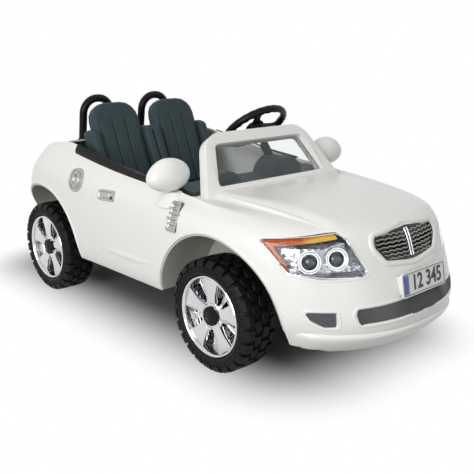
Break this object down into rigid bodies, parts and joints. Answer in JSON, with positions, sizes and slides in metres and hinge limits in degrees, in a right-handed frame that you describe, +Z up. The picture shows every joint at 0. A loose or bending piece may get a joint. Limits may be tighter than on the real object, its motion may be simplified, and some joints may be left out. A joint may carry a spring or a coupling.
{
  "type": "electric ride-on car",
  "caption": "Two-seat electric ride-on car with a moulded open body, linked steering, bucket seats, roll hoops, fold-in mirrors and spoked wheels.",
  "frame": {"origin": "on the ground under the middle of the car's box", "axes": "+Z up, nose towards -Y, the car's right side at -X"},
  "size_m": [0.726, 1.4511, 0.6247],
  "materials": {
    "body_white": "glossy moulded white",
    "pan_black": "matte black",
    "liner_grey": "matte grey",
    "clear_pane": "clear",
    "slate": "glossy slate grey",
    "trim_black": "satin black",
    "grille_dark": "dark gunmetal",
    "mesh_grey": "dark grey",
    "plate_white": "glossy white",
    "lamp_chrome": "bright",
    "lamp_lens": "clear",
    "amber": "amber",
    "lamp_ring": "bright white",
    "silver": "silver paint",
    "tail_red": "red lens",
    "battery_grey": "matte grey",
    "button_red": "glossy red",
    "steel": "zinc plated",
    "gear_case": "matte black",
    "horn_grey": "silver grey",
    "mirror_face": "reflective",
    "tyre": "matte black",
    "rim_chrome": "bright plated"
  },
  "bodies": {
    "chassis": {"body_shell": "body_white", "chassis_pan": "pan_black", "arch_liners": "liner_grey", "windshield_frame": "body_white", "windshield_pane": "clear_pane", "dashboard": "slate", "seat_right": "slate", "seat_left": "slate", "roll_hoop_right": "trim_black", "roll_hoop_left": "trim_black", "belt_trims": "trim_black", "grille": "grille_dark", "lower_grille": "mesh_grey", "fog_vents": "mesh_grey", "plate_holder": "body_white", "number_plate": "plate_white", "headlamp_bowls": "lamp_chrome", "headlamp_lenses": "lamp_lens", "turn_signals": "amber", "headlamp_rings": "lamp_ring", "fuel_cap": "silver", "door_handles": "silver", "side_gills": "silver", "tail_lamps": "tail_red", "battery": "battery_grey", "control_box": "pan_black", "charge_socket": "trim_black", "front_axle_beam": "steel", "rear_axle": "steel", "gearboxes": "gear_case", "motors": "steel", "steering_column_tube": "trim_black", "mirror_mounts": "body_white"},
    "steering": {"steering_shaft": "steel", "steering_wheel": "trim_black"},
    "horn": {"horn_button": "horn_grey"},
    "tie_rod": {"tie_rod": "steel"},
    "pedal": {"accelerator_pedal": "trim_black"},
    "lever": {"gear_lever": "trim_black"},
    "power": {"power_button": "button_red"},
    "knuckle_right": {"knuckle_right": "steel"},
    "wheel_front_right": {"tyre_front_right": "tyre", "rim_front_right": "rim_chrome", "hub_cap_front_right": "trim_black"},
    "wheel_rear_right": {"tyre_rear_right": "tyre", "rim_rear_right": "rim_chrome", "hub_cap_rear_right": "trim_black"},
    "mirror_right": {"mirror_right": "body_white", "mirror_glass_right": "mirror_face"},
    "knuckle_left": {"knuckle_left": "steel"},
    "wheel_front_left": {"tyre_front_left": "tyre", "rim_front_left": "rim_chrome", "hub_cap_front_left": "trim_black"},
    "wheel_rear_left": {"tyre_rear_left": "tyre", "rim_rear_left": "rim_chrome", "hub_cap_rear_left": "trim_black"},
    "mirror_left": {"mirror_left": "body_white", "mirror_glass_left": "mirror_face"}
  },
  "joints": [
    {"name": "steer", "type": "hinge", "parent": "chassis", "child": "steering", "pos_m": [0.1145, -0.02982, 0.545], "axis": [0, 0.6157, 0.788], "range_deg": [-30, 30]},
    {"name": "horn_press", "type": "slide", "parent": "steering", "child": "horn", "axis": [0, 0.6157, 0.788], "range_m": [-0.0025, 0], "stiffness_N_per_m": 400},
    {"name": "tie_rod_slide", "type": "slide", "parent": "chassis", "child": "tie_rod", "axis": [1, 0, 0], "range_m": [-0.0212, 0.0212]},
    {"name": "pedal_press", "type": "hinge", "parent": "chassis", "child": "pedal", "pos_m": [0.1285, -0.09999, 0.176], "axis": [1, 0, 0], "range_deg": [0, 14], "stiffness_Nm_per_rad": 2, "springref_deg": -20.05},
    {"name": "lever_throw", "type": "hinge", "parent": "chassis", "child": "lever", "pos_m": [0, -0.01499, 0.23], "axis": [1, 0, 0], "range_deg": [-14, 14]},
    {"name": "power_press", "type": "slide", "parent": "chassis", "child": "power", "axis": [0, 1, 0], "range_m": [-0.003, 0], "stiffness_N_per_m": 300},
    {"name": "knuckle_right_turn", "type": "hinge", "parent": "chassis", "child": "knuckle_right", "pos_m": [-0.205, -0.33298, 0.145], "axis": [0, 0, 1], "range_deg": [-20.2, 20.2]},
    {"name": "wheel_front_right_spin", "type": "hinge", "parent": "knuckle_right", "child": "wheel_front_right", "pos_m": [-0.285, -0.33298, 0.145], "axis": [1, 0, 0], "continuous": true},
    {"name": "wheel_rear_right_spin", "type": "hinge", "parent": "chassis", "child": "wheel_rear_right", "pos_m": [-0.285, 0.48198, 0.145], "axis": [1, 0, 0], "continuous": true},
    {"name": "mirror_right_fold", "type": "hinge", "parent": "chassis", "child": "mirror_right", "pos_m": [-0.289, -0.14899, 0.44], "axis": [0, 0, 1], "range_deg": [-45, 0]},
    {"name": "knuckle_left_turn", "type": "hinge", "parent": "chassis", "child": "knuckle_left", "pos_m": [0.205, -0.33298, 0.145], "axis": [0, 0, 1], "range_deg": [-20.2, 20.2]},
    {"name": "wheel_front_left_spin", "type": "hinge", "parent": "knuckle_left", "child": "wheel_front_left", "pos_m": [0.285, -0.33298, 0.145], "axis": [1, 0, 0], "continuous": true},
    {"name": "wheel_rear_left_spin", "type": "hinge", "parent": "chassis", "child": "wheel_rear_left", "pos_m": [0.285, 0.48198, 0.145], "axis": [1, 0, 0], "continuous": true},
    {"name": "mirror_left_fold", "type": "hinge", "parent": "chassis", "child": "mirror_left", "pos_m": [0.289, -0.14899, 0.44], "axis": [0, 0, 1], "range_deg": [0, 45]}
  ],
  "couplings": [
    {"joint": "tie_rod_slide", "follows": "steer", "m_per_rad": -0.04},
    {"joint": "knuckle_right_turn", "follows": "steer", "ratio": 0.66667},
    {"joint": "knuckle_left_turn", "follows": "steer", "ratio": 0.66667}
  ]
}
